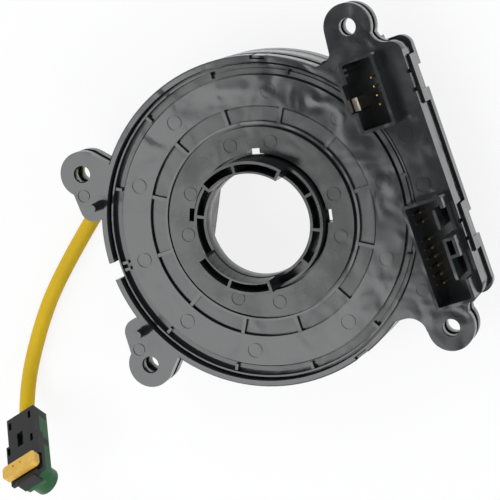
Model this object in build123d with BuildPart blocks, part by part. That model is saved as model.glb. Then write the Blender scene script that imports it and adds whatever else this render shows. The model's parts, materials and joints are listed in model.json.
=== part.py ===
from build123d import *
from math import copysign, cos, pi, radians, sin, tan
import os

# A steering clock spring, lying on its wheel side, all sizes in millimetres.
# The origin is on the spin axis at the lowest face, +Z points out of the column side,
# and +X points to the connector box.
# The stator is the rear housing snapped on the front case. The rotor and its sleeve turn
# inside it, and the wound flat cable between them carries the circuits.

# Clearances
RUNNING_FIT = 0.1          # drum in the front case's bearing edge, on the radius
FACE_GAP = 0.3             # between faces of the rotor and the stator
SPIGOT_FIT = 0.1           # rear housing's spigot in the case wall
INSERT_FIT = 0.05          # pins and strips in their moulded slots
SNAP_GAP = 0.3             # latch tabs in their pockets
WINDOW_GAP = 0.15          # catches in the windows of their tabs

# Heights along the spin axis
ROTOR_H = 7.2              # rotor rim, from the lowest face to its top
WEB_T = 1.4                # rotor web
CASE_GAP = 0.4             # running gap between the rotor and the front case
CASE_WALL_TOP = 18.5       # top of the front case's round wall
RIM_LOW = 21.7             # underside of the rear housing's rim
PLATE_LOW = 21.5           # underside of the rear housing's disc
GROOVE_Z = 23.5            # floor of both ring grooves
PLATE_Z = 24.9             # raised plate between the grooves
DISC_Z = 26.0              # top of the sleeve's disc
DISC_T = 2.0               # thickness of the sleeve's disc
RIM_Z = 27.9               # rim, ears and box top
BOX_FLOOR = 11.5           # underside of the box
BOX_JOINT = 15.6           # joint of the two box shells
HEADER_Z = 36.9            # top of the connector headers
CAVITY_FLOOR = 19.0        # floor inside the headers
PIN_TIP = 24.8             # tips of the header pins
ARC_Z = 29.0               # low arcs of the hub ring
LOBE_Z = 38.0              # raised cancelling lobes

# Radii about the spin axis
CASE_R = 55.9              # outer wall, rim and rotor rim
WALL_T = 1.7               # their wall
BAND_IN = 1.3              # recess of the band between the two stator shells
SPIGOT_T = 1.7             # wall of the spigot
SPIGOT_H = 2.0             # length of the spigot in the case wall
RIM_W = 2.05               # raised rim, across
TRIM_GAP = 0.85            # from the rim to the thin outer ring
TRIM_T = 0.55              # wall of the thin outer ring
TRIM_Z = 25.7              # top of the thin outer ring
TRIM_LEDGE = 1.15          # from the thin outer ring to the outer groove
GROOVE_OUT = 2.1           # from the outer groove's outside to the raised plate
GROOVE_W = 0.6             # narrow dark grooves beside the plate
GROOVE_STEP = 0.8          # depth of the narrow grooves below the floors
EDGE = 0.5                 # broken edge of the rim
PLATE_BORE = 39.2          # inside of the raised plate
LIP_R = 33.8               # outside of the lip round the sleeve
LIP_BORE = 33.0            # inside of that lip
LIP_Z = 25.0               # top of that lip
LEDGE_R = 30.5             # ledge under the sleeve's disc
LEDGE_T = 2.2              # thickness of that ledge
DISC_R = 32.1              # sleeve's disc
DRUM_R = 30.0              # rotor drum
DRUM_T = 1.7               # wall of the drum
CASSETTE_IN = 2.2          # from the raised plate's edge to the cassette wall's inside
CASSETTE_T = 1.3           # cassette wall
BORE_R = 17.9              # steering shaft's bore, in the sleeve
HUB_R = 22.3               # outside of the hub ring
MOAT_T = 1.0               # moat round the hub ring
SKIRT_T = 1.2              # wall below the moat
MOAT_Z = 21.2              # moat floor
SLEEVE_LOW = 20.0          # underside of the sleeve
CONE_TOP_Z = 23.0          # where the bore starts to widen
CONE_SLOPE = 0.365         # widening of the bore for each millimetre down
CONE_T = 1.6               # wall of the cone
WHEEL_BORE_R = 26.3        # bore on the wheel side
WHEEL_BORE_H = 4.5         # length of that bore
FLOOR_T = 1.4              # front case floor

# Box beside the disc: outer faces of the rear shell
BOX_OUT = 9.2              # box beyond the round case
BOX_Y = (-44.8, 42.7)
BOX_ROOT_X = 30.0          # where the box meets the disc, inside the round wall
BOX_WALL = 1.8
BOX_TOP_T = 2.0
BOX_R = 4.0                # vertical corners
FLANGE_OUT = 0.8           # front shell's flange beyond the rear shell
BOX_FLOOR_T = 1.5
JOINT_STEP = 0.8           # shadow gap at the joint of the shells

# Latch tabs on the box: middle and width of each
TAB_Y = (28.4, -22.5)
TAB_W = 16.2
TAB_T = 1.7
TAB_Z = 23.25
TAB_WINDOW_W = 7.8
TAB_WINDOW_Z = 20.5
POCKET_DEPTH = 1.2
POCKET_TOP = 24.2
NOTCH_W = 8.0              # notch in the flange under each tab
NOTCH_DEPTH = 1.0
CATCH_OUT = 0.4            # catch proud of the rear shell
SLOT_DEPTH = 0.9
SLOT_W = 1.3               # narrow slots above each pocket
SLOT_SPREAD = 3.1          # from the pocket's middle to each slot

# Ears: screw holes and outer radius
EAR_R = 7.8
EAR_HOLE_R = 2.95
EAR_ROOT_R = 5.5
LEFT_ROOT_IN = 9.9         # from the round case's outside
LEFT_ROOT_Y = 29.5
RIGHT_ROOT_IN = 18.1       # from the box's outer face
RIGHT_ROOT_Y = 41.0
EAR_T = 3.9                # rear layer
EAR_GAP = 2.8              # between the two layers
FRONT_EAR_T = 3.8
LEG_T = 2.2                # legs of the front ears beside the box
RIGHT_EAR_IN = 14.65       # from the box's outer face
RIGHT_EAR_Y = (-52.0, 51.4)
LEFT_EAR_IN = 1.85         # from the round case's outside
LEFT_EAR_Y = 34.6
WEB_R = 5.6                # web from each peg's lobe to its ear
# Hollow webs between the box and its ears: arc's centre back from the box's outer face and
# along Y, then its radius
GUSSETS = [(3.3, 47.5, 4.8), (3.5, -48.8, 4.0), (26.8, 46.7, 4.0), (28.7, -50.8, 6.0)]
PEG_IN = 4.3               # from the round case's outside
PEG_Y = 22.7
PEG_R = 1.7
PEG_H = 8.0
PEG_TAPER = 2.5            # degrees
LOBE_IN = 1.7              # rounded lobe that carries each peg, from the same outside
LOBE_R = 4.9

# Headers: outer faces, wall and the pins' places
HEADER_WALL = 1.1
HEADER_FLOOR_T = 1.5
HEADER_R = 1.0
CAVITY_R = 0.5
UPPER_IN = (19.3, 7.4)     # each pair is taken back from the box's outer face
UPPER_Y = (17.1, 41.3)
BULGE_IN = 21.3
BULGE_Y = (23.3, 35.2)
LOWER_IN = (15.1, 1.6)
LOWER_Y = (-44.5, -8.8)
PIN_W = 0.64
PIN_PITCH = 3.04
UPPER_PIN_IN = 13.4
UPPER_PIN_Y = 33.45        # first pin, the rest follow downwards
UPPER_PINS = 4
LOWER_PIN_IN = 12.7
LOWER_PIN_Y = -13.3
LOWER_PINS = 9
EMPTY_PIN = 2              # the third place is left empty

CUT_WALL_Y = (-37.0, -13.0)
CUT_WALL_Z = 29.5          # lowered stretch of the lower header's outer wall
GUIDE_IN = 5.7
GUIDE_T = 1.0
GUIDE_WALLS_Y = ((-19.2, -12.7), (-36.4, -29.3))
LATCH_FRAME_Y = (-29.3, -22.6)
KEY_RIB = (1.2, 0.8)
KEY_RIBS_Y = (36.4, 38.2)
BAR_T = 0.5                # shorting bar
BAR_Y = (24.7, 29.1)
BAR_Z = 32.5
BAR_REACH = 2.0

# Surface details
SPOKES = 12
SPOKE_W = 1.2
SPOKE_Z = 24.7
BITE = 0.3                 # how far spokes and ribs run into the walls beside them
RIB_W = 1.0
RIB_SPREAD = 1.3
MARK_R = 2.6
MARK_W = 0.3
MARK_DEPTH = 0.3
PLATE_MARKS = (0, 33.5, 67, 113, 146.5, 180, 213.5, 247, 293, 326.5)
BOX_MARKS = [(57.4, 12.9), (57.4, -4.6)]
# Marks on the ears: in from the box's outer face or from the round case's outside, then along Y
RIGHT_MARKS = [(10.7, 46.6), (10.7, -47.1), (19.4, -37.4)]
LEFT_MARKS = [(-0.1, 27.4), (-0.1, -28.4)]
EAR_MARK_R = 2.2
SMALL_MARK = (41.7, 40.3)
SMALL_MARK_R = 1.3
LATCH_ANGLES = (-70.5, 70.5)
LATCH_W = 5.0
LATCH_T = 0.8
LATCH_Z = 26.5
KEY_Y = (-3.2, 2.7)        # notch in the rim opposite the box
KEY_DEPTH = 2.3

# Hub ring: the dividers between its pockets, and the two lobes
DIVIDERS = (43, 86.5, 120, 156, 193, 229, 269, 303, 337, 371, 403)
LOBES = ((43, 120), (193, 269))
HUB_WALL = 0.95
LOBE_SETBACK = 0.3         # inner face of the lobes behind the bore
DIVIDER_HALF = 1.4         # half a divider, in degrees
POCKET_FLOOR = 22.4
WINDOW_ANGLES = (75.7, 156.4, -12.2)
WINDOW = (2.6, 4.4)        # radial, then across
SLEEVE_MARKS = [
    (-19.9, 16.4),
    (-25.6, 3.6),
    (-1.0, 27.4),
    (12.7, 24.4),
    (27.4, 1.4),
    (24.9, -12.6),
    (-16.3, -22.0),
    (-2.8, -27.3),
]
SLEEVE_MARK_R = 2.4
FLAT_ANGLE = 152           # flat inside the bore
FLAT_D = 21.3
FLAT_TOP = 12.0
LIGHT_CUTS = (((-6.0, 9.0), (19.5, 25.5)), ((15.0, 25.0), (-9.5, -2.5)))

# Terminal carrier in the box
CARRIER_Z = 14.2
CARRIER_T = 1.6
CARRIER_IN = (13.8, 3.3)
CARRIER_Y = (-41.5, 39.5)
BOSS_R = 2.0
BOSS_IN = 5.6
BOSS_Y = (-36.0, -4.0, 34.0)

# Flat cable and its sealed ends
CABLE_T = 0.4
CABLE_Z = (10.0, 20.0)
CABLE_IN = 2.1             # from the drum to the middle of the strip
CABLE_OUT = 0.4            # room left beyond the last turn
CABLE_TURNS = 5
SHEET_T = 0.3
BLOCK_W = 10.0
BLOCK_OUT = 1.0            # inner block beyond the drum
STRIP_REACH = 2.2          # of the outer strips onto the carrier
STRIP_T = 0.6
STRIP_SEAT = 0.4           # from the web's underside to the strips
RISER_BACK = 1.1           # from the drum's bore to the upright ends of the strips
RISER_Z = 14.0
STRIP_W = 0.9
STRIP_PITCH = 2.0
STRIPS = 5

# Socket on the wheel side
SOCKET_W = 24.0
SOCKET_Y = (-45.0, -34.0)
SOCKET_WALL = 1.2
SOCKET_LOW = 0.3
SOCKET_PIN_LOW = 1.5
SOCKET_PIN_Y = -42.7

# Lead: diameter and route, then the connector at its end
LEAD_D = 5.5
LEAD_Z = 2.8
LEAD_POINTS = [
    (-16.0, 38.0, LEAD_Z),
    (-37.0, 37.1, LEAD_Z),
    (-56.0, 25.6, LEAD_Z),
    (-86.4, 2.5, LEAD_Z),
    (-100.7, -12.1, LEAD_Z),
    (-112.3, -28.6, LEAD_Z),
    (-112.0, -43.1, 15.75),
]
LEAD_FIT = 0.05
ARC_SHARE = 0.45           # of the shorter run, taken by each bend
EXIT_W = 7.4               # notch in the rotor's rim for the lead
EXIT_X = (-29.0, 0.0)      # along the lead, back from its third point
GLAND_W = 9.0
GLAND_BACK = 5.0
GLAND_FRONT = 4.0

# Airbag connector: heading and tilt of its long axis, then its sizes
PLUG_HEADING = 283.85
PLUG_TILT = 48.18
PLUG_SEAT = 2.5            # how far the lead goes in
PLUG_W = 12.4
PLUG_L = 30.0
PLUG_LOW = -3.55           # nose side of the body
PLUG_SPLIT = 0.9           # where the cover meets the body
PLUG_TOP = 3.75            # outside of the cover
COLLAR_W = 14.6            # wider stretch of the cover, round the lock
COLLAR_Y = (12.0, 28.8)
CAP_T = 1.0                # cover's end, turned down over the body's
CAP_LOW = -1.0
NOSE_R = 5.0
NOSE_H = 4.95
NOSE_Y = 24.8
PLUG_CORNER = 2.2
CLIP_T = 0.7
CLIP_W = 3.2
CLIP_Y = (1.9, 14.2)
CLIP_LOW = -3.0
LOCK_X = (-7.0, 7.6)
LOCK_Y = (22.7, 28.1)
LOCK_H = 2.6
LOCK_R = 1.4
LOCK_RECESS = 1.2
LOCK_BACK = 0.7            # gap between the lock and the cover's end
LEG_LOW = -1.5
DIMPLES = [(-0.55, 24.5), (2.75, 24.5)]
DIMPLE_R = 0.45
LOCK_TRAVEL = 1.4
LOCK_FIT = 0.15
LEG_W = 1.6
LEG_X = 4.0
CONTACT_W = 1.6
CONTACT_X = 1.7
CONTACT_Y = 26.6
CONTACT_D = 2.4
CONTACT_L = 5.6
CONTACT_BACK = 0.3         # below the nose's tip
COVER_WINDOW_X = (-0.5, 2.1)
COVER_WINDOW_Y = (8.6, 14.7)
COVER_SLOTS = [(-4.1, 3.2), (4.9, 3.5), (-4.3, 13.8), (6.2, 14.5)]
COVER_SLOT = (1.2, 3.2, 2.0)
FERRITE = (6.0, 8.0, 2.2)
FERRITE_Y = 15.2
FERRITE_LOW = -2.7

# Worked out from the sizes above
SPIGOT_R = CASE_R - BAND_IN
RIM_BORE = CASE_R - RIM_W
TRIM_R = RIM_BORE - TRIM_GAP
GROOVE_R = TRIM_R - TRIM_T - TRIM_LEDGE
PLATE_R = GROOVE_R - GROOVE_OUT
CASSETTE_R = PLATE_R - CASSETTE_IN
BOX_X = CASE_R + BOX_OUT
RIGHT_EAR_X = BOX_X - RIGHT_EAR_IN
LEFT_EAR_X = LEFT_EAR_IN - CASE_R
LEFT_ROOT = (LEFT_ROOT_IN - CASE_R, LEFT_ROOT_Y)
PEG_X = PEG_IN - CASE_R
LOBE_X = LOBE_IN - CASE_R
RIGHT_ROOT = (BOX_X - RIGHT_ROOT_IN, RIGHT_ROOT_Y)
UPPER_X = (BOX_X - UPPER_IN[0], BOX_X - UPPER_IN[1])
BULGE_X = BOX_X - BULGE_IN
LOWER_X = (BOX_X - LOWER_IN[0], BOX_X - LOWER_IN[1])
UPPER_PIN_X = BOX_X - UPPER_PIN_IN
LOWER_PIN_X = BOX_X - LOWER_PIN_IN
GUIDE_X = BOX_X - GUIDE_IN
CARRIER_X = (BOX_X - CARRIER_IN[0], BOX_X - CARRIER_IN[1])
BOSS_X = BOX_X - BOSS_IN
CABLE_INNER_R = DRUM_R + CABLE_IN
CABLE_PITCH = (CASSETTE_R - CABLE_OUT - CABLE_INNER_R) / CABLE_TURNS
ear_marks = [(BOX_X - inwards, y) for inwards, y in RIGHT_MARKS]
ear_marks += [(inwards - CASE_R, y) for inwards, y in LEFT_MARKS]
web_low = ROTOR_H - WEB_T
case_low = ROTOR_H + CASE_GAP
case_floor = case_low + FLOOR_T
wall_bore = CASE_R - WALL_T
disc_low = DISC_Z - DISC_T
cassette_out = CASSETTE_R + CASSETTE_T
drum_bore = DRUM_R - DRUM_T
sheet_bore = DRUM_R + 1.6
sheet_out = CASSETTE_R - 0.3
box_inner_x = (BOX_ROOT_X, BOX_X - BOX_WALL)
box_inner_y = (BOX_Y[0] + BOX_WALL, BOX_Y[1] - BOX_WALL)
box_size = (BOX_X - BOX_ROOT_X, BOX_Y[1] - BOX_Y[0])
box_centre = ((BOX_X + BOX_ROOT_X) / 2, sum(BOX_Y) / 2)
inner_size = (box_size[0] - BOX_WALL, box_size[1] - 2 * BOX_WALL)
inner_centre = (sum(box_inner_x) / 2, box_centre[1])
flange_size = (box_size[0] + FLANGE_OUT, box_size[1] + 2 * FLANGE_OUT)
flange_centre = (box_centre[0] + FLANGE_OUT / 2, box_centre[1])
flange_x = BOX_X + FLANGE_OUT
header_low = CAVITY_FLOOR - HEADER_FLOOR_T
ear_low = RIM_Z - EAR_T
front_ear_top = ear_low - EAR_GAP
front_ear_low = front_ear_top - FRONT_EAR_T
pocket_back = BOX_X - POCKET_DEPTH
carrier_top = CARRIER_Z + CARRIER_T
pin_slot = PIN_W + 2 * INSERT_FIT
groove_cut = GROOVE_Z - GROOVE_STEP
ledge_top = PLATE_LOW + LEDGE_T
spigot_low = CASE_WALL_TOP - SPIGOT_H
catch_low = BOX_JOINT + SPIGOT_FIT
rib_r = (PLATE_R + GROOVE_W + TRIM_R - TRIM_T) / 2 + BITE
rib_l = TRIM_R - TRIM_T - PLATE_R - GROOVE_W
spoke_l = PLATE_BORE - LIP_R + 2 * BITE
upper_cavity_x = (UPPER_X[0] + HEADER_WALL, UPPER_X[1] - HEADER_WALL)
upper_cavity_y = (UPPER_Y[0] + HEADER_WALL, UPPER_Y[1] - HEADER_WALL)
bulge_cavity_x = (BULGE_X + HEADER_WALL, upper_cavity_x[0] + HEADER_WALL)
bulge_cavity_y = (BULGE_Y[0] + HEADER_WALL, BULGE_Y[1] - HEADER_WALL)
lower_cavity_x = (LOWER_X[0] + HEADER_WALL, LOWER_X[1] - HEADER_WALL)
lower_cavity_y = (LOWER_Y[0] + HEADER_WALL, LOWER_Y[1] - HEADER_WALL)
leg_low = web_low + STRIP_SEAT
riser_y = -(DRUM_R - DRUM_T - RISER_BACK)
outer_block_x = CASSETTE_R + 3.6

upper_pins = [(UPPER_PIN_X, UPPER_PIN_Y - PIN_PITCH * i) for i in range(UPPER_PINS)]
lower_pins = [(LOWER_PIN_X, LOWER_PIN_Y - PIN_PITCH * i) for i in range(LOWER_PINS) if i != EMPTY_PIN]
strip_places = [STRIP_PITCH * (i - (STRIPS - 1) / 2) for i in range(STRIPS)]
tongue_r = SPIGOT_R + SNAP_GAP + LATCH_T / 2
moat_r = HUB_R + MOAT_T
left_ears = [(LEFT_EAR_X, LEFT_EAR_Y), (LEFT_EAR_X, -LEFT_EAR_Y)]
right_ears = [(RIGHT_EAR_X, y) for y in RIGHT_EAR_Y]


# Planes: the lead's gland, its way out of the rotor, and the connector
exit_run = Vector(*LEAD_POINTS[2]) - Vector(*LEAD_POINTS[1])
exit_plane = Plane(origin=(LEAD_POINTS[2][0], LEAD_POINTS[2][1], 0), x_dir=exit_run, z_dir=(0, 0, 1))
first_run = Vector(*LEAD_POINTS[1]) - Vector(*LEAD_POINTS[0])
gland_plane = Plane(origin=(LEAD_POINTS[0][0], LEAD_POINTS[0][1], 0), x_dir=first_run, z_dir=(0, 0, 1))
heading = radians(PLUG_HEADING)
tilt = radians(PLUG_TILT)
plug_y = Vector(cos(tilt) * cos(heading), cos(tilt) * sin(heading), sin(tilt))
plug_x = Vector(sin(heading), -cos(heading), 0)
plug = Plane(origin=Vector(*LEAD_POINTS[-1]) - plug_y * PLUG_SEAT, x_dir=plug_x, z_dir=plug_x.cross(plug_y))
lock_low = PLUG_TOP - LOCK_RECESS + LOCK_TRAVEL
lock_seat_y = (LOCK_Y[0] - LOCK_FIT, LOCK_Y[1] + LOCK_BACK)
nose_tip = PLUG_LOW - NOSE_H
contact_slot_z = (nose_tip, nose_tip + CONTACT_L)
contact_slot_y = (CONTACT_Y - CONTACT_D / 2 - INSERT_FIT, CONTACT_Y + CONTACT_D / 2 + INSERT_FIT)


def cone_r(height):
    """Radius of the widening bore at a height below the hub ring."""
    return BORE_R + CONE_SLOPE * (CONE_TOP_Z - height)


def block(x, y, z, mode=Mode.ADD, plane=Plane.XY, corner=0.0):
    """A box between pairs of limits, in a plane's own directions."""
    with BuildSketch(plane.offset(z[0])) as face:
        with Locations(((x[0] + x[1]) / 2, (y[0] + y[1]) / 2)):
            if corner:
                RectangleRounded(x[1] - x[0], y[1] - y[0], corner)
            else:
                Rectangle(x[1] - x[0], y[1] - y[0])
    extrude(face.sketch, amount=z[1] - z[0], mode=mode)


def ring(outer, inner, z, mode=Mode.ADD):
    """A ring about the spin axis."""
    with BuildSketch(Plane.XY.offset(z[0])) as face:
        Circle(outer)
        Circle(inner, mode=Mode.SUBTRACT)
    extrude(face.sketch, amount=z[1] - z[0], mode=mode)


def disc(radius, z, places=((0, 0),), mode=Mode.ADD, plane=Plane.XY):
    """Round posts, holes or shallow marks at a list of places."""
    with BuildSketch(plane.offset(z[0])) as face:
        with Locations(*places):
            Circle(radius)
    extrude(face.sketch, amount=z[1] - z[0], mode=mode)


def sector(outer, inner, start, end, z, mode=Mode.ADD):
    """Part of a ring between two angles in degrees."""
    with BuildSketch(Plane.XY.offset(z[0])) as face:
        with BuildLine():
            far = CenterArc((0, 0), outer, start, end - start)
            near = CenterArc((0, 0), inner, start, end - start)
            Line(near @ 0, far @ 0)
            Line(near @ 1, far @ 1)
        make_face()
    extrude(face.sketch, amount=z[1] - z[0], mode=mode)


def spoke(radius, angle, size, z, mode=Mode.ADD):
    """A radial bar or window centred at a radius and an angle; size is radial, then across."""
    with BuildSketch(Plane.XY.offset(z[0])) as face:
        with Locations(Location((radius * cos(radians(angle)), radius * sin(radians(angle))), angle)):
            Rectangle(*size)
    extrude(face.sketch, amount=z[1] - z[0], mode=mode)


def square_pins(places, z, width, mode=Mode.ADD):
    """Square pins or the slots that hold them."""
    with BuildSketch(Plane.XY.offset(z[0])) as face:
        with Locations(*places):
            Rectangle(width, width)
    extrude(face.sketch, amount=z[1] - z[0], mode=mode)


def polar(radius, angle):
    """A point at a radius and an angle in degrees."""
    return (radius * cos(radians(angle)), radius * sin(radians(angle)))


def hull_plate(place, radius, other, other_radius, z):
    """Two round ends joined by straight sides."""
    with BuildSketch(Plane.XY.offset(z[0])) as face:
        with Locations(place):
            Circle(radius)
        with Locations(other):
            Circle(other_radius)
        make_hull()
    extrude(face.sketch, amount=z[1] - z[0])


def ear_plates(z):
    """One layer of all four ears, and the hollow webs that join two of them to the box."""
    for place in left_ears:
        hull_plate(place, EAR_R, (LEFT_ROOT[0], copysign(LEFT_ROOT[1], place[1])), EAR_ROOT_R, z)
    for place in right_ears:
        hull_plate(place, EAR_R, (RIGHT_ROOT[0], copysign(RIGHT_ROOT[1], place[1])), EAR_ROOT_R, z)
    for inwards, y, radius in GUSSETS:
        foot = BOX_Y[1] - BITE if y > 0 else BOX_Y[0] + BITE
        x = BOX_X - inwards
        with BuildSketch(Plane.XY.offset(z[0])) as web:
            with Locations(((x + RIGHT_EAR_X) / 2, (y + foot) / 2)):
                Rectangle(abs(x - RIGHT_EAR_X), abs(y - foot))
            with Locations((x, y)):
                Circle(radius, mode=Mode.SUBTRACT)
        extrude(web.sketch, amount=z[1] - z[0])


def marks(places, top, radius):
    """Round grooves that moulding pins leave in a face."""
    with BuildSketch(Plane.XY.offset(top - MARK_DEPTH)) as face:
        with Locations(*places):
            Circle(radius)
            Circle(radius - MARK_W, mode=Mode.SUBTRACT)
    extrude(face.sketch, amount=MARK_DEPTH, mode=Mode.SUBTRACT)


# Rear housing: top disc, rim, box shell, headers, ears and pegs in one moulding
with BuildPart() as rear_housing:
    # Ear layers and the lobes that carry the pegs, trimmed to the inside of the rim
    ear_plates((ear_low, RIM_Z))
    for place in left_ears:
        hull_plate(place, WEB_R, (LOBE_X, copysign(PEG_Y, place[1])), LOBE_R, (ear_low, RIM_Z))
    disc(RIM_BORE, (ear_low, RIM_Z), mode=Mode.SUBTRACT)
    # Disc: grooves, raised plate, thin rings, rim, and the spigot that enters the case wall
    with BuildSketch(Plane.XZ) as section:
        with BuildLine():
            Polyline(
                (LEDGE_R, PLATE_LOW),
                (LEDGE_R, ledge_top),
                (LIP_BORE, ledge_top),
                (LIP_BORE, LIP_Z),
                (LIP_R, LIP_Z),
                (LIP_R, GROOVE_Z),
                (PLATE_BORE - GROOVE_W, GROOVE_Z),
                (PLATE_BORE - GROOVE_W, groove_cut),
                (PLATE_BORE, groove_cut),
                (PLATE_BORE, PLATE_Z),
                (PLATE_R, PLATE_Z),
                (PLATE_R, groove_cut),
                (PLATE_R + GROOVE_W, groove_cut),
                (PLATE_R + GROOVE_W, GROOVE_Z),
                (GROOVE_R, GROOVE_Z),
                (GROOVE_R, groove_cut),
                (TRIM_R - TRIM_T, groove_cut),
                (TRIM_R - TRIM_T, TRIM_Z),
                (TRIM_R, TRIM_Z),
                (TRIM_R, groove_cut),
                (RIM_BORE, groove_cut),
                (RIM_BORE, RIM_Z),
                (CASE_R - EDGE, RIM_Z),
                (CASE_R, RIM_Z - EDGE),
                (CASE_R, RIM_LOW),
                (SPIGOT_R, RIM_LOW),
                (SPIGOT_R, CASE_WALL_TOP),
                (wall_bore - SPIGOT_FIT, CASE_WALL_TOP),
                (wall_bore - SPIGOT_FIT, spigot_low),
                (wall_bore - SPIGOT_T, spigot_low),
                (wall_bore - SPIGOT_T, PLATE_LOW),
                close=True,
            )
        make_face()
    revolve(axis=Axis.Z)
    # Spokes of the inner groove and ribs of the outer one
    for i in range(SPOKES):
        angle = 360 / SPOKES * i
        spoke((LIP_R + PLATE_BORE) / 2, angle, (spoke_l, SPOKE_W), (groove_cut, SPOKE_Z))
        for rib_angle in (angle - RIB_SPREAD, angle + RIB_SPREAD) if angle == 180 else (angle,):
            spoke(rib_r, rib_angle, (rib_l, RIB_W), (groove_cut, LIP_Z))
    # The box opens into the disc, so the spigot stops at it
    block(box_inner_x, box_inner_y, (spigot_low, PLATE_LOW), mode=Mode.SUBTRACT)
    # Box shell: walls down to the joint, and a top outside the rim
    with BuildSketch(Plane.XY.offset(BOX_JOINT)) as walls:
        with Locations(box_centre):
            RectangleRounded(*box_size, BOX_R)
        with Locations(inner_centre):
            RectangleRounded(*inner_size, BOX_R - BOX_WALL, mode=Mode.SUBTRACT)
        Circle(SPIGOT_R - SPIGOT_FIT, mode=Mode.SUBTRACT)
    extrude(walls.sketch, amount=RIM_Z - BOX_JOINT)
    with BuildSketch(Plane.XY.offset(RIM_Z - BOX_TOP_T)) as roof:
        with Locations(box_centre):
            RectangleRounded(*box_size, BOX_R)
        Circle(RIM_BORE, mode=Mode.SUBTRACT)
    extrude(roof.sketch, amount=BOX_TOP_T)
    # Shadow step round the foot of the box wall
    with BuildSketch(Plane.XY.offset(BOX_JOINT)) as step:
        with Locations(box_centre):
            RectangleRounded(box_size[0] + BOX_WALL, box_size[1] + BOX_WALL, BOX_R)
            RectangleRounded(
                box_size[0] - 2 * JOINT_STEP,
                box_size[1] - 2 * JOINT_STEP,
                BOX_R - JOINT_STEP,
                mode=Mode.SUBTRACT,
            )
        Circle(CASE_R, mode=Mode.SUBTRACT)
    extrude(step.sketch, amount=JOINT_STEP, mode=Mode.SUBTRACT)
    # Latch pockets in the outer wall, each with the catch that fills its tab's window
    back_x = (pocket_back - BOX_WALL, BOX_X - BOX_WALL)
    for y in TAB_Y:
        half = TAB_W / 2 + SNAP_GAP
        block(back_x, (y - half - 1, y + half + 1), (BOX_JOINT, RIM_Z))
        block((pocket_back, flange_x), (y - half, y + half), (BOX_JOINT - 1, POCKET_TOP), mode=Mode.SUBTRACT)
        half = TAB_WINDOW_W / 2 - WINDOW_GAP
        block((pocket_back, BOX_X + CATCH_OUT), (y - half, y + half), (catch_low, TAB_WINDOW_Z - WINDOW_GAP))
        for slot in (y - SLOT_SPREAD, y + SLOT_SPREAD):
            block(
                (BOX_X - SLOT_DEPTH, BOX_X + 1),
                (slot - SLOT_W / 2, slot + SLOT_W / 2),
                (POCKET_TOP - 1, RIM_Z + 1),
                mode=Mode.SUBTRACT,
            )
    # Connector headers
    block(UPPER_X, UPPER_Y, (header_low, HEADER_Z), corner=HEADER_R)
    block((BULGE_X, UPPER_X[0] + HEADER_WALL), BULGE_Y, (header_low, HEADER_Z))
    block(LOWER_X, LOWER_Y, (header_low, HEADER_Z), corner=HEADER_R)
    block(upper_cavity_x, upper_cavity_y, (CAVITY_FLOOR, HEADER_Z), mode=Mode.SUBTRACT, corner=CAVITY_R)
    block(bulge_cavity_x, bulge_cavity_y, (CAVITY_FLOOR, HEADER_Z), mode=Mode.SUBTRACT)
    block(lower_cavity_x, lower_cavity_y, (CAVITY_FLOOR, HEADER_Z), mode=Mode.SUBTRACT, corner=CAVITY_R)
    block((lower_cavity_x[1] - CAVITY_R, LOWER_X[1]), CUT_WALL_Y, (CUT_WALL_Z, HEADER_Z), mode=Mode.SUBTRACT)
    for guide in GUIDE_WALLS_Y:
        block((GUIDE_X, GUIDE_X + GUIDE_T), guide, (CAVITY_FLOOR, HEADER_Z))
    block((GUIDE_X, LOWER_X[1]), LATCH_FRAME_Y, (CAVITY_FLOOR, HEADER_Z))
    block(
        (GUIDE_X + GUIDE_T, lower_cavity_x[1]),
        (LATCH_FRAME_Y[0] + GUIDE_T, LATCH_FRAME_Y[1] - GUIDE_T),
        (CAVITY_FLOOR, HEADER_Z),
        mode=Mode.SUBTRACT,
    )
    rib_x = (upper_cavity_x[0], upper_cavity_x[0] + KEY_RIB[0])
    for y in KEY_RIBS_Y:
        block(rib_x, (y, y + KEY_RIB[1]), (CAVITY_FLOOR, HEADER_Z))
    square_pins(upper_pins + lower_pins, (header_low, CAVITY_FLOOR), pin_slot, mode=Mode.SUBTRACT)
    # Screw holes, rim notch, latch windows and shallow round marks
    disc(EAR_HOLE_R, (ear_low, RIM_Z), left_ears + right_ears, mode=Mode.SUBTRACT)
    block((-CASE_R, KEY_DEPTH - CASE_R), KEY_Y, (RIM_LOW, RIM_Z), mode=Mode.SUBTRACT)
    for angle in LATCH_ANGLES:
        spoke(CASE_R, angle, (2 * (CASE_R - SPIGOT_R), LATCH_W), (RIM_LOW, RIM_Z), mode=Mode.SUBTRACT)
    plate_marks = [polar((PLATE_R + PLATE_BORE) / 2, angle) for angle in PLATE_MARKS]
    marks(plate_marks, PLATE_Z, MARK_R)
    marks(BOX_MARKS, RIM_Z, MARK_R)
    marks(ear_marks, RIM_Z, EAR_MARK_R)
    marks([SMALL_MARK], RIM_Z, SMALL_MARK_R)
    # Tapered locating pegs
    for place in left_ears:
        with BuildSketch(Plane.XY.offset(RIM_Z)) as peg_foot:
            with Locations((PEG_X, copysign(PEG_Y, place[1]))):
                Circle(PEG_R)
        extrude(peg_foot.sketch, amount=PEG_H, taper=PEG_TAPER)
rear_housing.part.label = "rear_housing"

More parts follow.
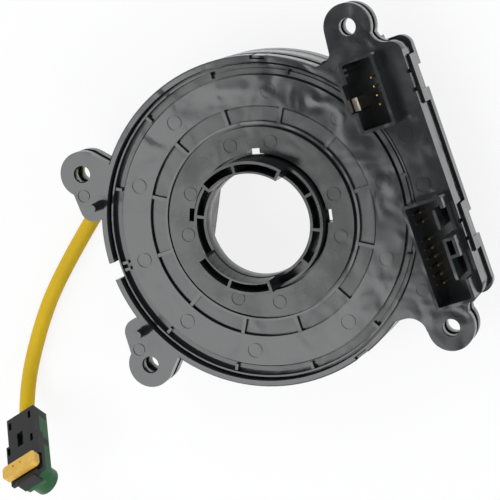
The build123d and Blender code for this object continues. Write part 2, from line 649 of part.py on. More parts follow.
# Front case: cassette tray, walls, box floor, latch tabs and the lower ear layers
with BuildPart() as front_case:
    ear_plates((front_ear_low, front_ear_top))
    disc(wall_bore, (front_ear_low, CASE_WALL_TOP), mode=Mode.SUBTRACT)
    disc(SPIGOT_R + SNAP_GAP, (CASE_WALL_TOP, front_ear_top), mode=Mode.SUBTRACT)
    ring(CASE_R, DRUM_R + RUNNING_FIT, (case_low, case_floor))
    ring(CASE_R, wall_bore, (case_floor, CASE_WALL_TOP))
    # Room for the rear shell's box, then this shell's own floor and flange
    block(box_inner_x, box_inner_y, (BOX_FLOOR + BOX_FLOOR_T, CASE_WALL_TOP), mode=Mode.SUBTRACT)
    block(
        (BOX_ROOT_X, flange_x),
        (BOX_Y[0] - SNAP_GAP, BOX_Y[1] + SNAP_GAP),
        (BOX_JOINT, front_ear_top),
        mode=Mode.SUBTRACT,
    )
    with BuildSketch(Plane.XY.offset(BOX_FLOOR)) as floor:
        with Locations(flange_centre):
            RectangleRounded(*flange_size, BOX_R)
        Circle(wall_bore, mode=Mode.SUBTRACT)
    extrude(floor.sketch, amount=BOX_FLOOR_T)
    with BuildSketch(Plane.XY.offset(BOX_FLOOR)) as flange:
        with Locations(flange_centre):
            RectangleRounded(*flange_size, BOX_R)
        with Locations(inner_centre):
            RectangleRounded(*inner_size, BOX_R - BOX_WALL, mode=Mode.SUBTRACT)
        Circle(wall_bore, mode=Mode.SUBTRACT)
    extrude(flange.sketch, amount=BOX_JOINT - BOX_FLOOR)
    disc(BOSS_R, (BOX_FLOOR, CARRIER_Z), [(BOSS_X, y) for y in BOSS_Y])
    # Latch tabs with their windows, and the notches below them
    tab_x = (flange_x - TAB_T, flange_x)
    notch_x = (flange_x - NOTCH_DEPTH, flange_x)
    for y in TAB_Y:
        half = TAB_W / 2
        block(tab_x, (y - half, y + half), (BOX_JOINT, TAB_Z))
        half = TAB_WINDOW_W / 2
        block(tab_x, (y - half, y + half), (BOX_JOINT, TAB_WINDOW_Z), mode=Mode.SUBTRACT)
        half = NOTCH_W / 2
        block(notch_x, (y - half, y + half), (BOX_FLOOR, BOX_JOINT), mode=Mode.SUBTRACT)
    # Rim tongues in the rear housing's latch windows
    for angle in LATCH_ANGLES:
        spoke(tongue_r, angle, (LATCH_T, LATCH_W - 2 * SNAP_GAP), (case_floor, LATCH_Z))
    # Legs that carry the two ears beside the box
    for place in right_ears:
        face = BOX_Y[1] + SNAP_GAP if place[1] > 0 else BOX_Y[0] - SNAP_GAP
        leg_y = (face, face + LEG_T) if place[1] > 0 else (face - LEG_T, face)
        block((place[0] - EAR_R + 1, place[0] + EAR_R - 1), leg_y, (BOX_FLOOR, front_ear_top))
    # Cassette wall, open where the cable's outer end passes
    ring(cassette_out, CASSETTE_R, (case_floor, PLATE_LOW))
    block(
        (CASSETTE_R - 1, cassette_out),
        (-BLOCK_W / 2 - SPIGOT_FIT, BLOCK_W / 2 + SPIGOT_FIT),
        (case_floor, CABLE_Z[1] + SPIGOT_FIT),
        mode=Mode.SUBTRACT,
    )
    disc(EAR_HOLE_R, (front_ear_low, front_ear_top), left_ears + right_ears, mode=Mode.SUBTRACT)
front_case.part.label = "front_case"


def strips(fit, top, mode):
    """The bent strips from the cable's inner end to the wheel-side pins, or their slots."""
    half = STRIP_W / 2 + fit
    for x in strip_places:
        pin_y = (SOCKET_PIN_Y - STRIP_T / 2 - fit, SOCKET_PIN_Y + STRIP_T / 2 + fit)
        block((x - half, x + half), pin_y, (SOCKET_PIN_LOW, leg_low), mode=mode)
        block((x - half, x + half), (pin_y[0], riser_y + STRIP_T + fit), (leg_low, top), mode=mode)


# Rotor: front cup, drum and the widening bore wall
with BuildPart() as rotor:
    with BuildSketch(Plane.XZ) as section:
        with BuildLine():
            Polyline(
                (WHEEL_BORE_R, 0),
                (WHEEL_BORE_R, WHEEL_BORE_H),
                (cone_r(WHEEL_BORE_H), WHEEL_BORE_H),
                (cone_r(SLEEVE_LOW), SLEEVE_LOW),
                (cone_r(SLEEVE_LOW) + CONE_T, SLEEVE_LOW),
                (cone_r(ROTOR_H) + CONE_T, ROTOR_H),
                (drum_bore, ROTOR_H),
                (drum_bore, disc_low),
                (DRUM_R, disc_low),
                (DRUM_R, ROTOR_H),
                (CASE_R, ROTOR_H),
                (CASE_R, 0),
                (wall_bore, 0),
                (wall_bore, web_low),
                (WHEEL_BORE_R + CONE_T, web_low),
                (WHEEL_BORE_R + CONE_T, 0),
                close=True,
            )
        make_face()
    revolve(axis=Axis.Z)
    # Flat inside the bore
    with BuildSketch(Plane.XY.offset(WHEEL_BORE_H)) as flat:
        Circle(cone_r(WHEEL_BORE_H) + CONE_T / 2)
        with Locations(Location(polar(FLAT_D - CASE_R, FLAT_ANGLE), FLAT_ANGLE)):
            Rectangle(2 * CASE_R, 2 * CASE_R, mode=Mode.SUBTRACT)
    extrude(flat.sketch, amount=FLAT_TOP - WHEEL_BORE_H)
    # Openings that daylight is seen through, below the sleeve's windows
    for x, y in LIGHT_CUTS:
        block(x, y, (WHEEL_BORE_H, SLEEVE_LOW), mode=Mode.SUBTRACT)
    # Seat of the cable's inner end, slots of the strips and notch of the lead
    half = BLOCK_W / 2 + SPIGOT_FIT
    block((-half, half), (-DRUM_R - 1, riser_y), (CABLE_Z[0], CABLE_Z[1] + SPIGOT_FIT), mode=Mode.SUBTRACT)
    strips(INSERT_FIT, ROTOR_H, Mode.SUBTRACT)
    block(EXIT_X, (-EXIT_W / 2, EXIT_W / 2), (0, web_low), mode=Mode.SUBTRACT, plane=exit_plane)
rotor.part.label = "rotor"

# Sleeve: disc, hub ring with pockets, and the two lobes that cancel the indicator
with BuildPart() as rotor_sleeve:
    with BuildSketch(Plane.XZ) as section:
        with BuildLine():
            Polyline(
                (cone_r(SLEEVE_LOW), SLEEVE_LOW),
                (BORE_R, CONE_TOP_Z),
                (BORE_R, ARC_Z),
                (HUB_R, ARC_Z),
                (HUB_R, MOAT_Z),
                (moat_r, MOAT_Z),
                (moat_r, DISC_Z),
                (DISC_R, DISC_Z),
                (DISC_R, disc_low),
                (moat_r + SKIRT_T, disc_low),
                (moat_r + SKIRT_T, SLEEVE_LOW),
                close=True,
            )
        make_face()
    revolve(axis=Axis.Z)
    for start, end in LOBES:
        sector(HUB_R, BORE_R + LOBE_SETBACK, start - DIVIDER_HALF, end + DIVIDER_HALF, (ARC_Z, LOBE_Z))
    for start, end in zip(DIVIDERS, DIVIDERS[1:]):
        pocket = (start + DIVIDER_HALF, end - DIVIDER_HALF)
        sector(HUB_R - HUB_WALL, BORE_R + HUB_WALL, *pocket, (POCKET_FLOOR, LOBE_Z), mode=Mode.SUBTRACT)
    for angle in WINDOW_ANGLES:
        spoke(HUB_R + WINDOW[0] / 2, angle, WINDOW, (SLEEVE_LOW, DISC_Z), mode=Mode.SUBTRACT)
    marks(SLEEVE_MARKS, DISC_Z, SLEEVE_MARK_R)
rotor_sleeve.part.label = "rotor_sleeve"

# Header pins, through the header floors into the carrier
with BuildPart() as upper_header_pins:
    square_pins(upper_pins, (CARRIER_Z, PIN_TIP), PIN_W)
upper_header_pins.part.label = "upper_header_pins"

with BuildPart() as lower_header_pins:
    square_pins(lower_pins, (CARRIER_Z, PIN_TIP), PIN_W)
lower_header_pins.part.label = "lower_header_pins"

# Shorting bar, standing in the upper header's side bulge and bent over towards the pins
with BuildPart() as shorting_bar:
    bar_x = bulge_cavity_x[0] + SNAP_GAP
    block((bar_x, bar_x + BAR_T), BAR_Y, (CAVITY_FLOOR, BAR_Z))
    block((bar_x, bar_x + BAR_REACH), BAR_Y, (BAR_Z - BAR_T, BAR_Z))
shorting_bar.part.label = "shorting_bar"

# Carrier of the pins, on bosses in the box
with BuildPart() as terminal_carrier:
    block(CARRIER_X, CARRIER_Y, (CARRIER_Z, carrier_top))
    square_pins(upper_pins + lower_pins, (CARRIER_Z, carrier_top), pin_slot, mode=Mode.SUBTRACT)
terminal_carrier.part.label = "terminal_carrier"

# Flat cable: a spiral of half turns about two centres, then a quarter turn to its outer end
step = CABLE_PITCH / 2
half_turns = 2 * CABLE_TURNS
with BuildPart() as flat_cable:
    with BuildSketch(Plane.XY.offset(CABLE_Z[0])) as section:
        with BuildLine():
            edges = []
            for side in (-CABLE_T / 2, CABLE_T / 2):
                for i in range(half_turns + 1):
                    centre = (0, -step * (i % 2))
                    span = 90 if i == half_turns else 180
                    arc = CenterArc(centre, CABLE_INNER_R + step * i + side, -90 + 180 * (i % 2), span)
                    edges.append(arc)
            Line(edges[0] @ 0, edges[half_turns + 1] @ 0)
            Line(edges[half_turns] @ 1, edges[-1] @ 1)
        make_face()
    extrude(amount=CABLE_Z[1] - CABLE_Z[0])
flat_cable.part.label = "flat_cable"

# Slip sheets under and over the wound cable
with BuildPart() as lower_slip_sheet:
    ring(sheet_out, sheet_bore, (case_floor, case_floor + SHEET_T))
lower_slip_sheet.part.label = "lower_slip_sheet"

with BuildPart() as upper_slip_sheet:
    ring(sheet_out, sheet_bore, (PLATE_LOW - SHEET_T, PLATE_LOW))
upper_slip_sheet.part.label = "upper_slip_sheet"

# Moulded ends of the cable, one in the drum and one in the cassette wall
with BuildPart() as inner_end_block:
    block((-BLOCK_W / 2, BLOCK_W / 2), (-DRUM_R - BLOCK_OUT, riser_y), CABLE_Z)
inner_end_block.part.label = "inner_end_block"

with BuildPart() as outer_end_block:
    block((CASSETTE_R, outer_block_x), (-BLOCK_W / 2, BLOCK_W / 2), (case_floor, CABLE_Z[1]))
outer_end_block.part.label = "outer_end_block"

with BuildPart() as inner_terminals:
    strips(0, leg_low + STRIP_T, Mode.ADD)
    for x in strip_places:
        block((x - STRIP_W / 2, x + STRIP_W / 2), (riser_y, riser_y + STRIP_T), (leg_low, RISER_Z))
inner_terminals.part.label = "inner_terminals"

with BuildPart() as outer_terminals:
    for y in strip_places:
        strip_y = (y - STRIP_W / 2, y + STRIP_W / 2)
        block((outer_block_x, CARRIER_X[0] + STRIP_REACH), strip_y, (carrier_top, carrier_top + STRIP_T))
outer_terminals.part.label = "outer_terminals"

# Socket for the steering wheel's switches, in the front recess
with BuildPart() as wheel_side_socket:
    socket_x = (-SOCKET_W / 2, SOCKET_W / 2)
    block(socket_x, SOCKET_Y, (SOCKET_LOW, web_low))
    block(
        (socket_x[0] + SOCKET_WALL, socket_x[1] - SOCKET_WALL),
        (SOCKET_Y[0] + SOCKET_WALL, SOCKET_Y[1] - SOCKET_WALL),
        (SOCKET_LOW, web_low),
        mode=Mode.SUBTRACT,
    )
wheel_side_socket.part.label = "wheel_side_socket"

# Gland that the lead leaves from
with BuildPart() as lead_gland:
    block(
        (-GLAND_BACK, GLAND_FRONT), (-GLAND_W / 2, GLAND_W / 2), (SOCKET_LOW, web_low), plane=gland_plane
    )
    with BuildSketch(Plane(origin=LEAD_POINTS[0], x_dir=(0, 0, 1), z_dir=gland_plane.x_dir)) as hole:
        Circle(LEAD_D / 2 + LEAD_FIT)
    extrude(hole.sketch, amount=GLAND_FRONT, mode=Mode.SUBTRACT)
lead_gland.part.label = "lead_gland"

# Lead: straight runs joined by arcs that are as large as the runs allow
runs = [Vector(*b) - Vector(*a) for a, b in zip(LEAD_POINTS, LEAD_POINTS[1:])]
bends = []
for before, after in zip(runs, runs[1:]):
    shorter = min(before.length, after.length)
    bends.append(ARC_SHARE * shorter / tan(radians(before.get_angle(after)) / 2))
with BuildPart() as airbag_lead:
    with BuildLine() as route:
        FilletPolyline(*LEAD_POINTS, radius=bends)
    with BuildSketch(Plane(origin=route.line @ 0, z_dir=route.line % 0)):
        Circle(LEAD_D / 2)
    sweep(path=route.line)
airbag_lead.part.label = "airbag_lead"

# Airbag connector, built along its own axes: y along it, z out of its cover
lead_bore_plane = Plane(origin=LEAD_POINTS[-1], z_dir=-runs[-1])


def lead_bore():
    """Takes the end of the lead out of a piece of the connector."""
    with BuildSketch(lead_bore_plane) as hole:
        Circle(LEAD_D / 2 + LEAD_FIT)
    extrude(hole.sketch, amount=2 * PLUG_SEAT, mode=Mode.SUBTRACT)


def plug_outline(z):
    """The connector's outline seen from its cover, with its far corners cut off."""
    with BuildSketch(plug.offset(z[0])) as face:
        with BuildLine():
            half = PLUG_W / 2
            Polyline(
                (-half, 0),
                (half, 0),
                (half, PLUG_L - PLUG_CORNER),
                (half - PLUG_CORNER, PLUG_L),
                (PLUG_CORNER - half, PLUG_L),
                (-half, PLUG_L - PLUG_CORNER),
                close=True,
            )
        make_face()
    extrude(face.sketch, amount=z[1] - z[0])


def clips(mode):
    """The cover's clip arms down the sides of the body, or their recesses."""
    for side in (-1, 1):
        arm = sorted((side * PLUG_W / 2, side * (PLUG_W / 2 - CLIP_T)))
        for y in CLIP_Y:
            block(arm, (y - CLIP_W / 2, y + CLIP_W / 2), (CLIP_LOW, PLUG_SPLIT), mode=mode, plane=plug)


def legs(fit, low, mode):
    """The lock's two legs, or their slots."""
    middle = sum(LOCK_Y) / 2
    for x in (-LEG_X, LEG_X):
        half = LEG_W / 2 + fit
        block((x - half, x + half), (middle - half, middle + half), (low, lock_low), mode=mode, plane=plug)


with BuildPart() as squib_body:
    plug_outline((PLUG_LOW, PLUG_SPLIT))
    disc(NOSE_R, (PLUG_LOW - NOSE_H, PLUG_LOW), [(0, NOSE_Y)], plane=plug)
    clips(Mode.SUBTRACT)
    legs(LOCK_FIT, LEG_LOW - LOCK_TRAVEL - LOCK_FIT, Mode.SUBTRACT)
    block(
        (-FERRITE[0] / 2 - SPIGOT_FIT, FERRITE[0] / 2 + SPIGOT_FIT),
        (FERRITE_Y - SPIGOT_FIT, FERRITE_Y + FERRITE[1] + SPIGOT_FIT),
        (FERRITE_LOW, PLUG_SPLIT),
        mode=Mode.SUBTRACT,
        plane=plug,
    )
    for x in (-CONTACT_X, CONTACT_X):
        half = CONTACT_W / 2 + INSERT_FIT
        block((x - half, x + half), contact_slot_y, contact_slot_z, mode=Mode.SUBTRACT, plane=plug)
    lead_bore()
squib_body.part.label = "squib_body"

with BuildPart() as squib_cover:
    plug_outline((PLUG_SPLIT, PLUG_TOP))
    collar_x = (-COLLAR_W / 2, COLLAR_W / 2)
    block(collar_x, COLLAR_Y, (PLUG_SPLIT, PLUG_TOP), plane=plug)
    cap_x = (PLUG_CORNER - PLUG_W / 2, PLUG_W / 2 - PLUG_CORNER)
    block(cap_x, (PLUG_L, PLUG_L + CAP_T), (CAP_LOW, PLUG_TOP), plane=plug)
    clips(Mode.ADD)
    block(collar_x, lock_seat_y, (PLUG_TOP - LOCK_RECESS, PLUG_TOP), mode=Mode.SUBTRACT, plane=plug)
    legs(LOCK_FIT, PLUG_SPLIT, Mode.SUBTRACT)
    block(COVER_WINDOW_X, COVER_WINDOW_Y, (PLUG_SPLIT, PLUG_TOP), mode=Mode.SUBTRACT, plane=plug)
    for x, y in COVER_SLOTS:
        block(
            (x - COVER_SLOT[0] / 2, x + COVER_SLOT[0] / 2),
            (y - COVER_SLOT[1] / 2, y + COVER_SLOT[1] / 2),
            (PLUG_TOP - COVER_SLOT[2], PLUG_TOP),
            mode=Mode.SUBTRACT,
            plane=plug,
        )
    lead_bore()
squib_cover.part.label = "squib_cover"

with BuildPart() as squib_lock:
    block(LOCK_X, LOCK_Y, (lock_low, lock_low + LOCK_H), plane=plug, corner=LOCK_R)
    legs(0, LEG_LOW, Mode.ADD)
    disc(DIMPLE_R, (lock_low + LOCK_H - DIMPLE_R, lock_low + LOCK_H), DIMPLES, mode=Mode.SUBTRACT, plane=plug)
squib_lock.part.label = "squib_lock"

with BuildPart() as squib_contacts:
    for x in (-CONTACT_X, CONTACT_X):
        half = CONTACT_W / 2
        contact_y = (contact_slot_y[0] + INSERT_FIT, contact_slot_y[1] - INSERT_FIT)
        block((x - half, x + half), contact_y, (nose_tip + CONTACT_BACK, nose_tip + CONTACT_L), plane=plug)
squib_contacts.part.label = "squib_contacts"

with BuildPart() as squib_ferrite:
    ferrite_y = (FERRITE_Y, FERRITE_Y + FERRITE[1])
    block((-FERRITE[0] / 2, FERRITE[0] / 2), ferrite_y, (FERRITE_LOW, FERRITE_LOW + FERRITE[2]), plane=plug)
squib_ferrite.part.label = "squib_ferrite"

# Each sub-part goes to its own file
os.makedirs("parts", exist_ok=True)
for piece in (
    rear_housing,
    front_case,
    rotor,
    rotor_sleeve,
    upper_header_pins,
    lower_header_pins,
    shorting_bar,
    terminal_carrier,
    flat_cable,
    lower_slip_sheet,
    upper_slip_sheet,
    inner_end_block,
    outer_end_block,
    inner_terminals,
    outer_terminals,
    wheel_side_socket,
    lead_gland,
    airbag_lead,
    squib_body,
    squib_cover,
    squib_lock,
    squib_contacts,
    squib_ferrite,
):
    export_step(piece.part, f"parts/{piece.part.label}.step")

print("lead bend radii", [round(bend, 1) for bend in bends])
lead_length = sum(edge.length for edge in route.edges())
print("lead length", round(lead_length, 1), "mm")
section_volume = lead_length * pi * (LEAD_D / 2) ** 2
print("lead volume", round(airbag_lead.part.volume, 1), "section times length", round(section_volume, 1))
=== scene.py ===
import json
import math

import bpy
from mathutils import Matrix, Vector


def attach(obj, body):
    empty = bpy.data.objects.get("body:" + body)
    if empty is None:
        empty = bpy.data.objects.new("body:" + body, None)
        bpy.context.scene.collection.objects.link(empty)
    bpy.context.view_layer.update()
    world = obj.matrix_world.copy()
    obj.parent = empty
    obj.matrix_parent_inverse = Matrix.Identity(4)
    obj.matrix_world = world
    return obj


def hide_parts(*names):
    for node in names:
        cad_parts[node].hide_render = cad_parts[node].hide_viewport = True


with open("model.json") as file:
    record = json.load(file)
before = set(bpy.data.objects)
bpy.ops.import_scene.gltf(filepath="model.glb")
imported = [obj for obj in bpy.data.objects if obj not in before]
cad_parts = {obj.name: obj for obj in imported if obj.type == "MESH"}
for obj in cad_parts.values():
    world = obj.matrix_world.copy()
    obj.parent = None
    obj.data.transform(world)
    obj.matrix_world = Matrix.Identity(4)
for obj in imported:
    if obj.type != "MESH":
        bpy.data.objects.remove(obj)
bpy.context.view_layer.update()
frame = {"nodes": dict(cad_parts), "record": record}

# A steering clock spring on a pale floor, seen from above its column side.
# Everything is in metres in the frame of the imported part: +Z is the spin axis.

MM = 0.001
scene = bpy.context.scene
nodes = frame["nodes"]

# Photograph: its size, the focal length in its pixels, and the pixel of the hub's centre
PHOTO_SIZE = 500
FOCAL_PX = 2000.0
HUB_PX = (260.42, 222.45)
HUB_Z = 26.0 * MM
CAMERA_DISTANCE = 666.36 * MM
CAMERA_TILT = math.radians(19.85)
CAMERA_HEADING = math.radians(32.3)
CAMERA_ROLL = math.radians(18.73)
SENSOR_MM = 36.0
NEAREST_SEEN = 10.0 * MM


def make_camera():
    """The camera at the photograph's viewing angle, aimed so that the hub falls on its pixel."""
    lean = Matrix.Rotation(-CAMERA_TILT, 3, (-math.sin(CAMERA_HEADING), math.cos(CAMERA_HEADING), 0))
    back = (lean @ Matrix.Rotation(CAMERA_ROLL, 3, "Z")).transposed()
    middle = PHOTO_SIZE / 2
    aside = Vector(((middle - HUB_PX[0]) / FOCAL_PX, (HUB_PX[1] - middle) / FOCAL_PX, 1))
    place = back @ (aside * CAMERA_DISTANCE) + Vector((0, 0, HUB_Z))
    data = bpy.data.cameras.new("camera")
    data.sensor_width = SENSOR_MM
    data.lens = FOCAL_PX * SENSOR_MM / PHOTO_SIZE
    data.clip_start = NEAREST_SEEN
    camera = bpy.data.objects.new("camera", data)
    camera.matrix_world = Matrix.Translation(place) @ back.to_4x4()
    scene.collection.objects.link(camera)
    scene.camera = camera


make_camera()

# Lead: its size, and the route's points in millimetres
LEAD_D = 5.5
LEAD_Z = 2.8
LEAD_POINTS = [
    (-16.0, 38.0, LEAD_Z),
    (-37.0, 37.1, LEAD_Z),
    (-56.5, 26.3, LEAD_Z),
    (-86.5, 2.2, LEAD_Z),
    (-99.7, -11.9, LEAD_Z),
    (-114.1, -32.4, LEAD_Z),
    (-112.0, -43.1, 15.75),
]
LEAD_ROUND = 8
LEAD_STEPS = 24


def make_lead():
    """The yellow lead, a smooth curve round the route's points."""
    curve = bpy.data.curves.new("lead", "CURVE")
    curve.dimensions = "3D"
    curve.bevel_depth = 1.0
    curve.bevel_resolution = LEAD_ROUND
    curve.resolution_u = LEAD_STEPS
    curve.use_fill_caps = True
    spline = curve.splines.new("NURBS")
    spline.points.add(len(LEAD_POINTS) - 1)
    for point, place in zip(spline.points, LEAD_POINTS):
        point.co = [value * MM for value in place] + [1]
        point.radius = LEAD_D / 2 * MM
    spline.order_u = 3
    spline.use_endpoint_u = True
    lead = bpy.data.objects.new("lead", curve)
    scene.collection.objects.link(lead)
    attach(lead, "rotor")
    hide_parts("airbag_lead")
    return lead


lead = make_lead()

# Blotches: between which noise values the colour and the roughness turn from one to the other
BLOTCH_COLOUR = (0.35, 0.65)
BLOTCH_GLOSS = (0.3, 0.7)
GRAIN_DEPTH = 0.3          # of the grain's size
SWELL_SCALE = 90.0         # swells of a moulded face in each metre
FACES_UP = 0.7             # least upward share of a normal that counts as upward


def node(tree, kind, **values):
    """A shader node with some of its sockets or properties set."""
    made = tree.nodes.new(kind)
    for key, value in values.items():
        if key in made.inputs:
            made.inputs[key].default_value = value
        else:
            setattr(made, key, value)
    return made


def satin_below(tree, where, finish, height, roughness):
    """That roughness on upward faces below that height, and the given finish elsewhere."""
    place = node(tree, "ShaderNodeSeparateXYZ")
    tree.links.new(where.outputs["Object"], place.inputs[0])
    low = node(tree, "ShaderNodeMath", operation="LESS_THAN")
    low.inputs[1].default_value = height
    tree.links.new(place.outputs["Z"], low.inputs[0])
    facing = node(tree, "ShaderNodeSeparateXYZ")
    tree.links.new(where.outputs["Normal"], facing.inputs[0])
    upward = node(tree, "ShaderNodeMath", operation="GREATER_THAN")
    upward.inputs[1].default_value = FACES_UP
    tree.links.new(facing.outputs["Z"], upward.inputs[0])
    both = node(tree, "ShaderNodeMath", operation="MULTIPLY")
    tree.links.new(low.outputs[0], both.inputs[0])
    tree.links.new(upward.outputs[0], both.inputs[1])
    choice = node(tree, "ShaderNodeMix", data_type="FLOAT", B=roughness)
    tree.links.new(both.outputs[0], choice.inputs["Factor"])
    tree.links.new(finish, choice.inputs["A"])
    return choice.outputs[0]


def moulded(
    name,
    base,
    dark,
    rough,
    sheen=0.5,
    grain=0.0004,
    bump=0.04,
    patch=0.012,
    wave=0.0,
    satin=None,
    metallic=0.0,
):
    """A surface with soft blotches in colour and gloss, a fine grain and a slight waviness.

    Grain and patch are sizes in metres, wave is a height in millimetres, and satin is a height
    and a roughness for the upward faces below it.
    """
    material = bpy.data.materials.new(name)
    material.use_nodes = True
    tree = material.node_tree
    tree.nodes.clear()
    output = node(tree, "ShaderNodeOutputMaterial")
    shader = node(tree, "ShaderNodeBsdfPrincipled", Metallic=metallic)
    shader.inputs["Specular IOR Level"].default_value = sheen
    tree.links.new(shader.outputs[0], output.inputs[0])
    where = node(tree, "ShaderNodeTexCoord")
    blotch = node(tree, "ShaderNodeTexNoise", Scale=1 / patch, Detail=5.0, Roughness=0.6)
    tree.links.new(where.outputs["Object"], blotch.inputs["Vector"])
    colour = node(tree, "ShaderNodeValToRGB")
    for stop, position, tone in zip(colour.color_ramp.elements, BLOTCH_COLOUR, (dark, base)):
        stop.position = position
        stop.color = (*tone, 1)
    tree.links.new(blotch.outputs["Fac"], colour.inputs[0])
    tree.links.new(colour.outputs[0], shader.inputs["Base Color"])
    gloss = node(tree, "ShaderNodeMapRange")
    for socket, value in zip(("From Min", "From Max", "To Min", "To Max"), BLOTCH_GLOSS + rough):
        gloss.inputs[socket].default_value = value
    tree.links.new(blotch.outputs["Fac"], gloss.inputs["Value"])
    finish = gloss.outputs[0]
    if satin:
        finish = satin_below(tree, where, finish, *satin)
    tree.links.new(finish, shader.inputs["Roughness"])
    fine = node(tree, "ShaderNodeTexNoise", Scale=1 / grain, Detail=2.0)
    tree.links.new(where.outputs["Object"], fine.inputs["Vector"])
    relief = node(tree, "ShaderNodeBump", Strength=bump, Distance=grain * GRAIN_DEPTH)
    tree.links.new(fine.outputs["Fac"], relief.inputs["Height"])
    if wave:
        swell = node(tree, "ShaderNodeTexNoise", Scale=SWELL_SCALE, Detail=1.0, Distortion=0.6)
        tree.links.new(where.outputs["Object"], swell.inputs["Vector"])
        bend = node(tree, "ShaderNodeBump", Strength=1.0, Distance=wave * MM)
        tree.links.new(swell.outputs["Fac"], bend.inputs["Height"])
        tree.links.new(bend.outputs[0], relief.inputs["Normal"])
    tree.links.new(relief.outputs[0], shader.inputs["Normal"])
    return material


# Plated or plain metal has a finer grain and smaller blotches
METAL = {"grain": 0.0003, "bump": 0.05, "patch": 0.002, "metallic": 1.0}
FINISHES = {
    "housing_black": {
        "base": (0.017, 0.020, 0.022),
        "dark": (0.010, 0.012, 0.014),
        "rough": (0.05, 0.24),
        "sheen": 0.7,
        "wave": 0.35,
        "satin": (24.4 * MM, 0.24),
    },
    "rotor_black": {
        "base": (0.018, 0.019, 0.020),
        "dark": (0.012, 0.013, 0.014),
        "rough": (0.12, 0.36),
        "sheen": 0.6,
        "wave": 0.2,
    },
    "gold_contact": {"base": (0.85, 0.60, 0.22), "dark": (0.70, 0.47, 0.15), "rough": (0.22, 0.35), **METAL},
    "spring_steel": {"base": (0.72, 0.64, 0.54), "dark": (0.58, 0.50, 0.42), "rough": (0.3, 0.45), **METAL},
    "natural_plastic": {"base": (0.62, 0.58, 0.48), "dark": (0.52, 0.48, 0.38), "rough": (0.4, 0.55)},
    "cable_film": {"base": (0.70, 0.66, 0.55), "dark": (0.6, 0.55, 0.45), "rough": (0.25, 0.4)},
    "slip_film": {"base": (0.6, 0.62, 0.66), "dark": (0.5, 0.52, 0.56), "rough": (0.25, 0.4)},
    "grommet_black": {"base": (0.03, 0.03, 0.03), "dark": (0.02, 0.02, 0.02), "rough": (0.55, 0.7)},
    "yellow_sleeve": {
        "base": (0.68, 0.45, 0.006),
        "dark": (0.60, 0.385, 0.004),
        "rough": (0.45, 0.58),
        "sheen": 0.25,
        "patch": 0.02,
    },
    "connector_green": {
        "base": (0.012, 0.105, 0.030),
        "dark": (0.008, 0.070, 0.020),
        "rough": (0.35, 0.5),
        "sheen": 0.3,
        "patch": 0.003,
    },
    "connector_dark": {
        "base": (0.014, 0.014, 0.015),
        "dark": (0.009, 0.009, 0.010),
        "rough": (0.45, 0.6),
        "sheen": 0.3,
        "patch": 0.004,
    },
    "lock_amber": {
        "base": (0.74, 0.46, 0.07),
        "dark": (0.66, 0.38, 0.05),
        "rough": (0.4, 0.55),
        "patch": 0.004,
    },
    "ferrite_grey": {"base": (0.12, 0.12, 0.12), "dark": (0.08, 0.08, 0.08), "rough": (0.5, 0.7)},
}
materials = {name: moulded(name, **finish) for name, finish in FINISHES.items()}
lead.data.materials.append(materials["yellow_sleeve"])

# Broken edges, in millimetres, of the nodes that show them
EDGES = {
    "rear_housing": 0.3,
    "front_case": 0.4,
    "rotor": 0.25,
    "rotor_sleeve": 0.2,
    "squib_body": 0.3,
    "squib_cover": 0.3,
    "squib_lock": 0.35,
    "upper_header_pins": 0.15,
    "lower_header_pins": 0.15,
    "shorting_bar": 0.1,
}
EDGE_ANGLE = math.radians(32)
WELD_REACH = 1e-6


def break_edges(piece, width):
    """Joins the solid's faces and rounds its sharp edges."""
    weld = piece.modifiers.new("weld", "WELD")
    weld.merge_threshold = WELD_REACH
    bevel = piece.modifiers.new("edges", "BEVEL")
    bevel.width = width * MM
    bevel.segments = 2
    bevel.limit_method = "ANGLE"
    bevel.angle_limit = EDGE_ANGLE
    bevel.harden_normals = True
    bevel.use_clamp_overlap = True


for part in frame["record"]["subparts"]:
    piece = nodes[part["node"]]
    piece.data.materials.clear()
    piece.data.materials.append(materials[part["material_slot"]])
    if part["node"] in EDGES:
        break_edges(piece, EDGES[part["node"]])

FLOOR_REACH = 3.0
FLOOR_COLOUR = (0.93, 0.93, 0.93, 1)
FLOOR_ROUGHNESS = 0.9
FLOOR_WHITE = 0.85         # share of plain white where the camera looks, so that the shadow stays faint
SKY_COLOUR = (0.95, 0.98, 1.0, 1)
SKY_LIGHT = 0.45
CEILING = (0.6, 0.85, 0.36)  # upward share where the surround starts and ends to dim, and what is left
LAMPS = [
    ("lamp_top", (-0.49, -0.16, 0.87), 0.57, 3.3),
    ("lamp_right", (0.9, -0.3, 0.45), 0.5, 2.5),
    ("lamp_back", (-0.3, 0.8, 0.7), 0.6, 3.0),
    ("lamp_front", (-0.2, -0.9, 0.6), 0.6, 3.0),
]


def white_rays(tree):
    """One where the camera, a reflection or a clear piece looks, and nought for other rays."""
    path = node(tree, "ShaderNodeLightPath")
    seen = node(tree, "ShaderNodeMath", operation="MAXIMUM")
    through = node(tree, "ShaderNodeMath", operation="MAXIMUM")
    tree.links.new(path.outputs["Is Camera Ray"], seen.inputs[0])
    tree.links.new(path.outputs["Is Glossy Ray"], seen.inputs[1])
    tree.links.new(seen.outputs[0], through.inputs[0])
    tree.links.new(path.outputs["Is Transmission Ray"], through.inputs[1])
    return through.outputs[0]


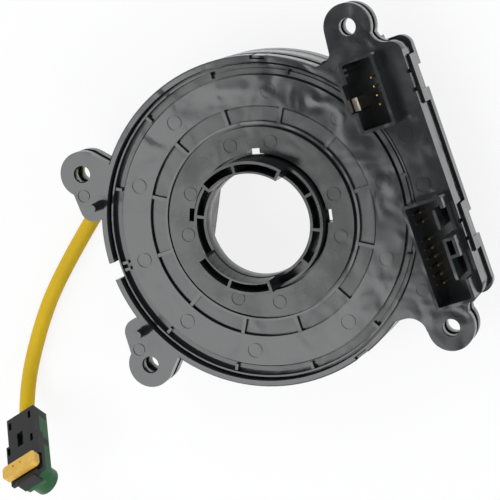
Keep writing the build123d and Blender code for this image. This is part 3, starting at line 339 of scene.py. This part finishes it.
def make_floor():
    """A pale floor that keeps a faint shadow."""
    mesh = bpy.data.meshes.new("floor")
    corners = [(x * FLOOR_REACH, y * FLOOR_REACH, 0) for x, y in ((-1, -1), (1, -1), (1, 1), (-1, 1))]
    mesh.from_pydata(corners, [], [(0, 1, 2, 3)])
    floor = bpy.data.objects.new("floor", mesh)
    scene.collection.objects.link(floor)
    material = bpy.data.materials.new("floor")
    material.use_nodes = True
    tree = material.node_tree
    shader = tree.nodes["Principled BSDF"]
    shader.inputs["Base Color"].default_value = FLOOR_COLOUR
    shader.inputs["Roughness"].default_value = FLOOR_ROUGHNESS
    glow = node(tree, "ShaderNodeEmission", Color=(1, 1, 1, 1), Strength=1.0)
    share = node(tree, "ShaderNodeMath", operation="MULTIPLY")
    share.inputs[1].default_value = FLOOR_WHITE
    blend = node(tree, "ShaderNodeMixShader")
    tree.links.new(white_rays(tree), share.inputs[0])
    tree.links.new(share.outputs[0], blend.inputs[0])
    tree.links.new(shader.outputs[0], blend.inputs[1])
    tree.links.new(glow.outputs[0], blend.inputs[2])
    tree.links.new(blend.outputs[0], tree.nodes["Material Output"].inputs[0])
    mesh.materials.append(material)


def make_lamps():
    """Soft square lamps that face the part, one above and three round it."""
    for name, place, size, power in LAMPS:
        data = bpy.data.lights.new(name, "AREA")
        data.size = size
        data.energy = power
        lamp = bpy.data.objects.new(name, data)
        lamp.location = place
        lamp.rotation_euler = (-Vector(place)).to_track_quat("-Z", "Y").to_euler()
        scene.collection.objects.link(lamp)


def make_surround():
    """A soft sky, seen by the camera and in reflections as white that dims towards the top."""
    world = bpy.data.worlds.new("surround")
    scene.world = world
    world.use_nodes = True
    tree = world.node_tree
    tree.nodes.clear()
    soft = node(tree, "ShaderNodeBackground", Color=SKY_COLOUR, Strength=SKY_LIGHT)
    white = node(tree, "ShaderNodeBackground", Color=(1, 1, 1, 1))
    sky = node(tree, "ShaderNodeTexCoord")
    up = node(tree, "ShaderNodeSeparateXYZ")
    dim = node(tree, "ShaderNodeMapRange")
    for socket, value in zip(("From Min", "From Max", "To Min", "To Max"), (*CEILING[:2], 1.0, CEILING[2])):
        dim.inputs[socket].default_value = value
    tree.links.new(sky.outputs["Generated"], up.inputs[0])
    tree.links.new(up.outputs["Z"], dim.inputs["Value"])
    tree.links.new(dim.outputs[0], white.inputs["Strength"])
    mix = node(tree, "ShaderNodeMixShader")
    output = node(tree, "ShaderNodeOutputWorld")
    tree.links.new(white_rays(tree), mix.inputs[0])
    tree.links.new(soft.outputs[0], mix.inputs[1])
    tree.links.new(white.outputs[0], mix.inputs[2])
    tree.links.new(mix.outputs[0], output.inputs[0])


make_floor()
make_lamps()
make_surround()
scene.view_settings.view_transform = "Standard"
